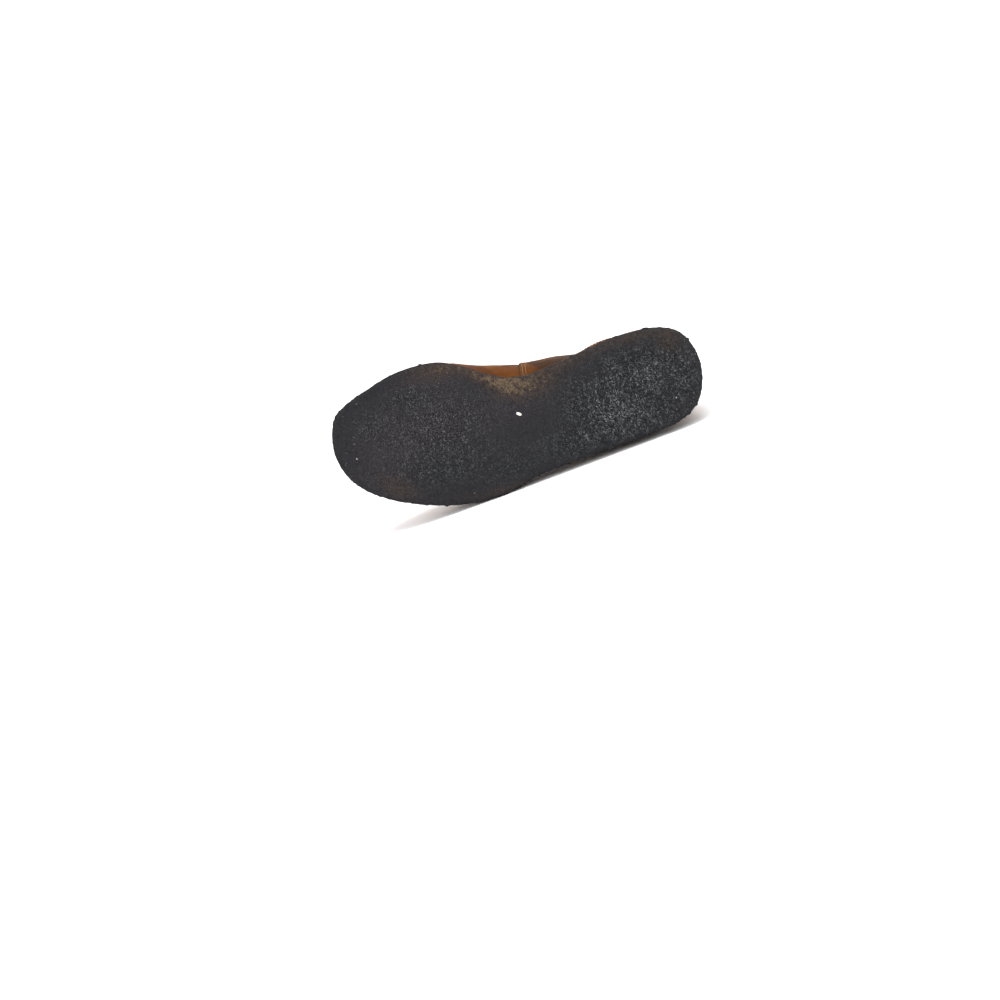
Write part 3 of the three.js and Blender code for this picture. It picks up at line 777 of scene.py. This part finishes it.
FLAT_INSIDE = INSIDE.reshape(-1, 3)
WAVES = 0.4 * noise_at(FLAT_INSIDE, 34, 5.0) + 0.2 * noise_at(FLAT_INSIDE, 13, 9.0)
CREASED = crease_depths(FLAT_INSIDE, NORMALS.reshape(-1, 3)).reshape(AROUND, LEVELS)
LOOSE = smoothstep(np.arange(LEVELS), LOW_LEVELS - 3, LOW_LEVELS + 12)
LOOSE = LOOSE * (1 - 0.65 * smoothstep(np.arange(LEVELS), LEVELS - 10, LEVELS - 1))
SOFT = (WAVES.reshape(AROUND, LEVELS) + CREASED) * LOOSE[None, :]

# Scuffs on the leather: place, reach in mm and strength
SCUFFS = table(
    "x y z reach strength",
    (292, 4, 30, 20, 0.9),
    (272, -32, 26, 18, 0.8),
    (228, 52, 30, 20, 0.7),
    (200, -58, 30, 18, 0.5),
    (6, 4, 46, 18, 0.7),
    (30, -34, 40, 16, 0.5),
    (60, -38, 95, 22, 0.4),
    (205, 0, 68, 26, 0.35),
)


# Dark patches on the leather: place, reach in mm and strength
STAINS = table(
    "x y z reach strength",
    (76, 40, 36, 26, 0.9),
    (100, 36, 34, 24, 1.0),
    (124, 36, 36, 18, 0.8),
    (150, 38, 46, 16, 0.35),
    (166, 44, 30, 12, 0.4),
    (12, 16, 34, 20, 0.4),
    (70, -40, 36, 30, 0.35),
    (288, 10, 28, 20, 0.35),
)


def spots_at(points, spots):
    total = np.zeros(len(points))
    for x, y, z, reach, strength in zip(*spots.values()):
        away = np.linalg.norm(points - np.array([x, y, z]), axis=1)
        total += strength * np.exp(-((away / reach) ** 2))
    return np.clip(total, 0, 1)


def dirt_at(points, troughs):
    """Darkening: dark wax and dust in a few patches, darker along the sole, and painted shade in the creases."""
    foot = np.exp(-np.clip(points[:, 2] - sole_top(points[:, 0]), 0, None) / 5.0)
    patchy = 0.88 + 0.5 * noise_at(points, 12, 12.0)
    return np.clip(0.8 * foot + 0.45 * troughs + spots_at(points, STAINS) * patchy, 0, 0.95)


def wall_at(stations, level, height):
    """Points a height out from the inside of the wall, its creases included."""
    rise = height + SOFT[stations, level]
    return INSIDE[stations, level] + NORMALS[stations, level] * np.asarray(rise)[..., None]


def level_thickness(thick, low):
    return low + (thick - low) * smoothstep(np.arange(LEVELS), LOW_LEVELS - 2, LOW_LEVELS + 2)


RIM = ((0.12, 0.3), (0.5, 0.5), (0.88, 0.3))


def build_shell(name, stations, inner, outer, material, slot, first_level=0, drop=0, nodes=()):
    """A closed sheet of leather between two heights over the inside of the wall."""
    levels = np.arange(first_level, LEVELS - drop)
    count = len(stations)
    taper = np.ones(count)
    taper[[0, -1]] = 0.8
    rings, edges, inners, troughs = [], [], [], []

    def add(level, points, edge, inside):
        rings.append(points)
        edges.append(np.full(count, edge))
        inners.append(np.full(count, inside))
        # How deep the point lies in a crease, later darkened as painted shade.
        troughs.append(np.clip(-CREASED[stations, level], 0, 1.5) / 1.5)

    for level in levels:
        add(level, wall_at(stations, level, outer[level] * taper), 0.0, 0.0)
    for level, step in ((levels[-1], 1), (levels[0], -1)):
        walk = UPWARDS[stations, level] * step
        for share, push in RIM:
            height = (outer[level] * (1 - share) + inner * share) * taper
            add(level, wall_at(stations, level, height) + unit(walk) * push, 1.0, 0.0)
        if step > 0:
            for inside_level in levels[::-1]:
                add(inside_level, wall_at(stations, inside_level, inner), 0.0, 1.0)
    section = len(rings)
    size = len(levels)
    rings = rings[: size + 3 + size] + rings[size + 3 + size:][::-1]
    points = np.stack(rings, axis=1).reshape(-1, 3)
    faces = grid_faces(count, section, closed_columns=True)
    for row in (0, count - 1):
        base = row * section
        for k in range(size - 1):
            mirror = size + 3 + size - 1
            faces.append((base + k, base + k + 1, base + mirror - k - 1, base + mirror - k))
        faces.append(tuple(base + k for k in range(size - 1, size + 4)))
        faces.append(tuple(base + k for k in [*range(size * 2 + 2, section), 0]))
    edge = np.stack(edges, axis=1)
    edge[[0, -1], :size] = 1.0
    return make_piece(
        name, points, faces, material, nodes, slot,
        edge=edge.ravel(), inner=np.stack(inners, axis=1).ravel(),
        dirt=dirt_at(points, np.stack(troughs, axis=1).ravel()), scuff=spots_at(points, SCUFFS),
    )


QUARTER_STATIONS = np.arange(-QUARTER_CUTS, QUARTER_CUTS + 1)
VAMP_STATIONS = np.arange(QUARTER_CUTS, AROUND - QUARTER_CUTS + 1)


def station_at(along, side):
    angle = float(swing(along))
    return int(np.argmin(np.abs(TURN - (angle if side > 0 else 2 * np.pi - angle))))


def below_opening(along, side, distance):
    """A place on the inside of the wall, a distance down from the opening, with its normal."""
    k = station_at(along, side) if isinstance(along, float) else along
    path = INSIDE[k, ::-1]
    run = np.concatenate([[0], np.cumsum(np.linalg.norm(np.diff(path, axis=0), axis=1))])
    pick = lambda rows: np.array([np.interp(distance, run, rows[:, axis]) for axis in range(3)])
    return pick(path), unit(pick(NORMALS[k, ::-1]))


def raised(place, height):
    return place[0] + place[1] * height


def throat_arch(along):
    ends = []
    for side in (-1, 1):
        point, normal = below_opening(along, side, 0.0)
        ends.append((point, normal, unit(point - below_opening(along, side, 5.0)[0])))
    (a, a_normal, a_up), (b, b_normal, b_up) = ends
    handle = np.linalg.norm(a - b) / 3
    p1, p2 = a + a_up * handle, b + b_up * handle

    def at(share):
        point = (1 - share) ** 3 * a + 3 * share * (1 - share) ** 2 * p1
        point = point + 3 * share**2 * (1 - share) * p2 + share**3 * b
        return point, unit(a_normal * (1 - share) + b_normal * share)

    return at


LACE_ROOM = LACE_DIAMETER + 2 * SEAT_GAP + 0.4


def cut_eyelets(piece):
    """Punches the four eyelets through a facing."""
    cutter = bmesh.new()
    for along in EYELET_STATIONS:
        for side in (1, -1):
            point, normal = below_opening(along, side, EYELET_SETBACK)
            axis = Vector(normal @ AXES)
            turn = axis.to_track_quat("Z", "Y").to_matrix().to_4x4()
            spot = Matrix.Translation(Vector(in_row([point])[0])) @ turn
            radius = EYELET_BORE / 2 * MM
            bmesh.ops.create_cone(
                cutter, cap_ends=True, segments=28, radius1=radius, radius2=radius, depth=16 * MM, matrix=spot
            )
    mesh = bpy.data.meshes.new("punch")
    cutter.to_mesh(mesh)
    cutter.free()
    punch = bpy.data.objects.new("punch", mesh)
    bpy.context.scene.collection.objects.link(punch)
    modifier = piece.modifiers.new("punch", "BOOLEAN")
    modifier.operation = "DIFFERENCE"
    modifier.object = punch
    modifier.solver = "EXACT"
    bpy.context.view_layer.update()
    result = bpy.data.meshes.new_from_object(piece.evaluated_get(bpy.context.evaluated_depsgraph_get()))
    piece.modifiers.clear()
    piece.data = result
    bpy.data.objects.remove(punch)


def build_upper(leather, lining):
    quarter = level_thickness(LEATHER + QUARTER_STEP, 2.7)
    vamp = level_thickness(LEATHER, LEATHER)
    quarters = build_shell("quarters", QUARTER_STATIONS, LINING, quarter, leather, "leather", nodes=["upper"])
    build_shell("vamp", VAMP_STATIONS, 0.0, vamp, leather, "leather", nodes=["upper"])
    inside = np.full(LEVELS, LINING - 0.1)
    sock = build_shell("quarter_lining", QUARTER_STATIONS, 0.0, inside, lining, "leather", first_level=4, drop=1)
    for piece in (quarters, sock):
        cut_eyelets(piece)


# Stitches

STITCH_SIDES = 6
COLLAR_STITCH = 3.0


def along_path(points, normals, pitch):
    run = np.concatenate([[0], np.cumsum(np.linalg.norm(np.diff(points, axis=0), axis=1))])
    count = max(2, int(run[-1] / pitch))
    marks = (np.arange(count) + 0.5) * run[-1] / count
    pick = lambda rows, at: np.stack([np.interp(at, run, rows[:, axis]) for axis in range(3)], axis=1)
    ahead = pick(points, np.minimum(marks + 0.4, run[-1]))
    behind = pick(points, np.maximum(marks - 0.4, 0))
    return pick(points, marks), unit(pick(normals, marks)), unit(ahead - behind)


def stitch_row(points, normals, pitch, length, thickness):
    """Short threads that dive into the leather at both ends, as points and faces."""
    verts, faces = [], []
    places, ups, runs = along_path(points, normals, pitch)
    for place, up, run in zip(places, ups, runs):
        side = np.cross(up, run)
        base = len(verts)
        profile = [(-0.5, -0.7, 0.5), (-0.38, 0.1, 0.95), (0, 0.42, 1.1), (0.38, 0.1, 0.95), (0.5, -0.7, 0.5)]
        for share, lift, girth in profile:
            centre = place + run * share * length + up * lift * thickness
            for n in range(STITCH_SIDES):
                angle = 2 * math.pi * n / STITCH_SIDES
                spoke = side * math.cos(angle) + up * math.sin(angle)
                verts.append(centre + spoke * girth * thickness / 2)
        rings = len(profile)
        for face in grid_faces(rings, STITCH_SIDES, closed_columns=True):
            faces.append(tuple(base + k for k in face))
        faces.append(tuple(base + n for n in range(STITCH_SIDES))[::-1])
        faces.append(tuple(base + (rings - 1) * STITCH_SIDES + n for n in range(STITCH_SIDES)))
    return verts, faces


def build_stitches(material):
    rows = []
    quarter = level_thickness(LEATHER + QUARTER_STEP, 2.7)
    all_round = np.arange(AROUND + 1) % AROUND
    in_quarter = (all_round <= QUARTER_CUTS) | (all_round >= AROUND - QUARTER_CUTS)
    flange = wall_at(all_round, 1, np.where(in_quarter, 2.7, LEATHER))
    rows.append((flange, NORMALS[all_round, 1], 3.6, 2.7, 0.75))
    for side in (1, -1):
        for setback in (2.2, 4.6):
            points, normals = [], []
            for level in range(LOW_LEVELS + 1, LEVELS - 3):
                stations = side * np.arange(QUARTER_CUTS, QUARTER_CUTS - 30, -1)
                line = wall_at(stations, level, quarter[level])
                run = np.concatenate([[0], np.cumsum(np.linalg.norm(np.diff(line, axis=0), axis=1))])
                points.append([np.interp(setback, run, line[:, axis]) for axis in range(3)])
                normals.append(NORMALS[side * QUARTER_CUTS, level])
            rows.append((np.array(points), np.array(normals), 2.9, 2.1, 0.62))
    points, normals = [], []
    for station in QUARTER_STATIONS[3:-3]:
        place = below_opening(int(station), 0, COLLAR_STITCH)
        points.append(raised(place, LEATHER + QUARTER_STEP + SOFT[station, -3]))
        normals.append(place[1])
    rows.append((np.array(points), np.array(normals), 2.9, 2.1, 0.62))
    verts, faces = [], []
    for row in rows:
        new_verts, new_faces = stitch_row(*row)
        base = len(verts)
        verts.extend(new_verts)
        faces.extend(tuple(base + k for k in face) for face in new_faces)
    make_piece("stitches", verts, faces, material, [], "leather")


# Tongue, insole, lace

TONGUE_ACROSS = 28
TONGUE_ALONG = 40
TONGUE_CORNER = 0.35


def tongue_sheet(along):
    """A line across the tongue's place: up one facing, over the throat and down the other."""
    wing = lambda side: [below_opening(along, side, s * TONGUE_WING) for s in np.linspace(1, 0, 9)]
    over = [throat_arch(along)(s) for s in np.linspace(0, 1, 11)[1:-1]]
    line = [*wing(-1), *over, *wing(1)[::-1]]
    points = np.array([point for point, _ in line])
    normals = np.array([normal for _, normal in line])
    run = np.concatenate([[0], np.cumsum(np.linalg.norm(np.diff(points, axis=0), axis=1))])
    marks = np.linspace(0, run[-1], TONGUE_ACROSS)
    pick = lambda rows: np.stack([np.interp(marks, run, rows[:, axis]) for axis in range(3)], axis=1)
    return pick(points), unit(pick(normals))


def tongue_lines():
    rows = [tongue_sheet(along) for along in TONGUE_STATIONS]
    middle = TONGUE_ACROSS // 2
    aside = np.abs(np.linspace(-1, 1, TONGUE_ACROSS))[:, None]

    def shifted(row, move, width):
        points, normals = row
        centre = points[middle]
        narrow = (points - centre) * np.array([1, width, 1]) + centre
        return narrow + move * (1 - TONGUE_ROUNDING * aside**2), normals

    up = rows[0][0][middle] - rows[1][0][middle]
    up[1] = 0
    up = unit(up)
    tuck = np.array([math.cos(VAMP_SLOPE), 0, -math.sin(VAMP_SLOPE)])
    lines = [shifted(rows[0], up * TONGUE_RISE, 0.9), shifted(rows[0], up * TONGUE_RISE / 2, 0.98)]
    lines += rows
    lines.append(shifted(rows[-1], tuck * TONGUE_TUCK, 0.7))
    return np.array([line[0] for line in lines]), np.array([line[1] for line in lines])


def resample(rows, count):
    """Smoothly finer lines between the given ones."""
    keys = np.arange(len(rows))
    marks = np.linspace(0, len(rows) - 1, count)
    k = np.clip(marks.astype(int), 0, len(rows) - 2)
    f = (marks - k)[:, None, None]
    slopes = np.gradient(rows, axis=0)
    a, b = rows[k], rows[k + 1]
    ma, mb = slopes[k], slopes[k + 1]
    del keys
    return (2 * f**3 - 3 * f**2 + 1) * a + (f**3 - 2 * f**2 + f) * ma + (3 * f**2 - 2 * f**3) * b + (f**3 - f**2) * mb


def build_tongue(material):
    points, normals = tongue_lines()
    points, normals = resample(points, TONGUE_ALONG), unit(resample(normals, TONGUE_ALONG))
    waves = noise_at(points, 17, 4.0).reshape(points.shape[:2]) * 0.4
    outer = points + normals * (waves - LACE_ROOM)[..., None]
    inner = points + normals * (waves - LACE_ROOM - TONGUE_THICKNESS)[..., None]
    rows, cols = points.shape[:2]
    verts = np.concatenate([outer.reshape(-1, 3), inner.reshape(-1, 3)])
    sheet = grid_faces(rows, cols)
    size = rows * cols
    faces = [*sheet, *[tuple(size + k for k in face[::-1]) for face in sheet]]
    border = [*range(cols), *[r * cols + cols - 1 for r in range(1, rows)]]
    border += [(rows - 1) * cols + c for c in range(cols - 2, -1, -1)] + [r * cols for r in range(rows - 2, 0, -1)]
    for a, b in zip(border, border[1:] + border[:1]):
        faces.append((b, a, size + a, size + b))
    edge = np.zeros(2 * size)
    edge[border] = 0.7
    edge[[size + k for k in border]] = 0.7
    inner_side = np.concatenate([np.zeros(size), np.ones(size)])
    dirt = np.clip(noise_at(verts, 14, 2.0), 0, 1) * 0.4
    piece = make_piece(
        "tongue_sheet", verts, faces, material, ["tongue"], "tongue_leather",
        edge=edge, inner=inner_side, dirt=dirt, scuff=np.zeros(2 * size),
    )
    bevel = piece.modifiers.new("soft_edge", "BEVEL")
    bevel.width = 0.7 * MM
    bevel.segments = 3
    bevel.limit_method = "ANGLE"


def build_insole(material):
    turn = around(320)
    edge, out = outline(turn)
    middle = middle_line(turn)
    inset = FLANGE_MARGIN + FLANGE_WIDTH + 2 * SEAT_GAP
    rim = edge - out * inset
    rings = []
    for share in (1, 0.5, 0):
        plan = rim + (middle - rim) * share
        rings.append(np.column_stack([plan, sole_top(plan[:, 0]) + SEAT_GAP]))
    for share in np.linspace(0, 1, 22):
        plan = rim + (middle - rim) * share
        dish = 0.9 * smoothstep(share, 0.0, 0.6)
        round_off = 0.5 * (1 - smoothstep(share, 0, 0.05))
        z = sole_top(plan[:, 0]) + SEAT_GAP + INSOLE_THICKNESS - dish - round_off
        rings.append(np.column_stack([plan, z]))
    points = np.concatenate(rings)
    heel = np.exp(-(((points[:, 0] - 45) / 30) ** 2) - (points[:, 1] / 24) ** 2)
    ball = np.exp(-(((points[:, 0] - 200) / 36) ** 2) - ((points[:, 1] - 4) / 34) ** 2)
    dirt = np.clip(0.55 * (heel + ball) + 0.3 * noise_at(points, 12, 6.0), 0, 1)
    faces = grid_faces(len(rings), len(turn), closed_columns=True)
    make_piece("insole_board", points, faces, material, ["insole"], "insole", weld=0.02, dirt=dirt)


def lace_points():
    """The lace's route: over both pairs of eyelets, and behind the facings between them."""
    high, low = EYELET_STATIONS
    behind = -LACE_ROOM / 2
    above = LEATHER + QUARTER_STEP + LACE_DIAMETER / 2 + SEAT_GAP + 0.4
    hole = lambda along, side, depth: raised(below_opening(along, side, EYELET_SETBACK), depth)

    def over(along, side):
        return [raised(below_opening(along, side, s * EYELET_SETBACK), above) for s in (0.75, 0.4, 0)]

    def bar(along, side):
        middle = raised(throat_arch(along)(0.5), above - LACE_SAG)
        return [
            hole(along, side, LEATHER), *over(along, side), middle,
            *over(along, -side)[::-1], hole(along, -side, LEATHER),
        ]

    def between(side, *shares):
        return [hole(high + (low - high) * s, side, behind) for s in shares]

    return [
        hole(high, -1, behind), *bar(high, -1), hole(high, 1, behind), *between(1, 0.33, 0.67),
        hole(low, 1, behind), *bar(low, 1), hole(low, -1, behind), *between(-1, 0.67, 0.36),
    ]


def catmull_rom(points, per_span):
    points = np.array(points)
    padded = np.concatenate([[2 * points[0] - points[1]], points, [2 * points[-1] - points[-2]]])
    out = []
    for p0, p1, p2, p3 in zip(padded, padded[1:], padded[2:], padded[3:]):
        d1, d2, d3 = (max(np.linalg.norm(b - a) ** 0.5, 1e-6) for a, b in ((p0, p1), (p1, p2), (p2, p3)))
        m1 = (p1 - p0) / d1 - (p2 - p0) / (d1 + d2) + (p2 - p1) / d2
        m2 = (p2 - p1) / d2 - (p3 - p1) / (d2 + d3) + (p3 - p2) / d3
        m1, m2 = m1 * d2, m2 * d2
        for f in np.arange(per_span) / per_span:
            out.append(
                (2 * f**3 - 3 * f**2 + 1) * p1 + (f**3 - 2 * f**2 + f) * m1
                + (3 * f**2 - 2 * f**3) * p2 + (f**3 - f**2) * m2
            )
    out.append(points[-1])
    return np.array(out)


LACE_SIDES = 20


def build_lace(material):
    path = catmull_rom(lace_points(), 10)
    tangents = unit(np.gradient(path, axis=0))
    side = unit(np.cross(tangents[0], [0, 0, 1.0]))
    verts, braid = [], []
    run = np.concatenate([[0], np.cumsum(np.linalg.norm(np.diff(path, axis=0), axis=1))])
    for point, tangent, length in zip(path, tangents, run):
        side = unit(side - tangent * (side @ tangent))
        other = np.cross(tangent, side)
        for n in range(LACE_SIDES):
            angle = 2 * math.pi * n / LACE_SIDES
            spoke = side * math.cos(angle) + other * math.sin(angle)
            verts.append(point + spoke * LACE_DIAMETER / 2)
            braid.append((length * 3.2, angle * 5, 0, 0))
    faces = grid_faces(len(path), LACE_SIDES, closed_columns=True)
    faces.append(tuple(range(LACE_SIDES))[::-1])
    last = (len(path) - 1) * LACE_SIDES
    faces.append(tuple(last + n for n in range(LACE_SIDES)))
    make_piece("round_lace", verts, faces, material, ["lace"], "lace", braid=braid)


# The white chip and two pale grains stuck to the sole: place and half sizes in mm
GRIT = ((149.7, -0.2, 2.2, 1.15), (282.7, -4.1, 0.5, 0.4), (26.0, -17.6, 0.4, 0.35))
CRUMBS = 60


def grain(x, y, long, wide, thick, turn, fine):
    """A lumpy grain on the sole, as points and faces."""
    ball = bmesh.new()
    bmesh.ops.create_icosphere(ball, subdivisions=fine, radius=1)
    ground = float(sole_bottom(np.array(x), np.array(y)))
    points = []
    for vert in ball.verts:
        p = vert.co * (1 + 0.3 * noise.noise(vert.co * 1.4 + Vector((x, y, 0))))
        u, v = p.x * long, p.y * wide
        points.append((
            x + u * math.cos(turn) - v * math.sin(turn),
            y + u * math.sin(turn) + v * math.cos(turn),
            ground + 0.1 + p.z * thick,
        ))
    faces = [tuple(vert.index for vert in face.verts) for face in ball.faces]
    ball.free()
    return points, faces


def on_sole(rng):
    """A random place on the bottom of the sole, its rim left out."""
    turn = np.array([rng.uniform(0, 2 * math.pi)])
    angle = np.array([turn[0], turn[0] + 1e-3])
    rim, middle = outline(angle)[0][0], middle_line(turn)[0]
    return middle + (rim - middle) * 0.9 * math.sqrt(rng.random())


def build_grains(name, rows, material, slot="crepe"):
    verts, faces = [], []
    for row in rows:
        points, corners = grain(*row)
        base = len(verts)
        verts.extend(points)
        faces.extend(tuple(base + k for k in corner) for corner in corners)
    make_piece(name, verts, faces, material, [], slot)


def build_grit():
    pale = [(x, y, long, wide, 0.6, 0.55, 3) for x, y, long, wide in GRIT]
    build_grains("grit", pale, grit_material("grit", (0.8, 0.78, 0.74), (0.55, 0.52, 0.48)))
    rng = random.Random(4)
    crumbs = []
    for _ in range(CRUMBS):
        x, y = on_sole(rng)
        size = rng.uniform(0.3, 0.75)
        crumbs.append((x, y, size, size * rng.uniform(0.5, 1), 0.35, rng.uniform(0, math.pi), 2))
    build_grains("crumbs", crumbs, grit_material("crumbs", (0.07, 0.057, 0.045), (0.045, 0.042, 0.042)))


AMBER = leather_material("amber_leather", LEATHER_AMBER, LEATHER_BROWN)
build_outsole(crepe_material())
build_upper(AMBER, leather_material("lining_leather", (0.3, 0.18, 0.09), (0.2, 0.11, 0.05), gloss=0.6))
build_stitches(thread_material())
build_tongue(leather_material("tongue_leather", (0.2, 0.068, 0.014), (0.1, 0.034, 0.01), gloss=0.56))
build_insole(insole_material())
build_lace(lace_material())
build_grit()


# Stage and light

STAGE_SIZE = 20.0
WHITE = (0.95, 0.95, 0.95)


def make_stage():
    mesh = bpy.data.meshes.new("stage")
    half = STAGE_SIZE / 2
    bend = 2.5
    back = half - bend
    profile = [(-half, 0.0), (back, 0.0)]
    for degrees in range(6, 91, 6):
        angle = math.radians(degrees)
        profile.append((back + bend * math.sin(angle), bend * (1 - math.cos(angle))))
    profile.append((half, STAGE_SIZE * 0.6))
    verts = [(x, y, z) for x in (-half, half) for y, z in profile]
    faces = grid_faces(2, len(profile))
    mesh.from_pydata(verts, [], faces)
    mesh.polygons.foreach_set("use_smooth", [True] * len(mesh.polygons))
    s = Shading("paper")
    mesh.materials.append(s.finish(base_color=WHITE, roughness=0.9, specular_ior_level=0.1))
    stage = bpy.data.objects.new("stage", mesh)
    bpy.context.scene.collection.objects.link(stage)


def make_light(name, place, target, size, power, colour=(1, 1, 1)):
    data = bpy.data.lights.new(name, "AREA")
    data.shape = "RECTANGLE"
    data.size, data.size_y = size
    data.energy = power
    data.color = colour
    light = bpy.data.objects.new(name, data)
    bpy.context.scene.collection.objects.link(light)
    light.location = place
    light.rotation_euler = (Vector(target) - Vector(place)).to_track_quat("-Z", "Y").to_euler()


def make_lighting():
    world = bpy.data.worlds.new("studio")
    bpy.context.scene.world = world
    world.use_nodes = True
    background = world.node_tree.nodes["Background"]
    background.inputs["Color"].default_value = (1, 1, 1, 1)
    background.inputs["Strength"].default_value = 1.1
    make_light("overhead", (0.1, -0.5, 2.4), (0, 0, 0), (2.2, 1.6), 50)
    make_light("front", (-0.6, -2.2, 1.1), (0, 0, 0.06), (1.8, 1.2), 20)
    make_light("back_fill", (0.8, 2.4, 1.6), (0, 0, 0.06), (1.6, 1.2), 16)
    scene = bpy.context.scene
    scene.view_settings.view_transform = "Standard"
    scene.view_settings.look = "None"


make_stage()
make_lighting()
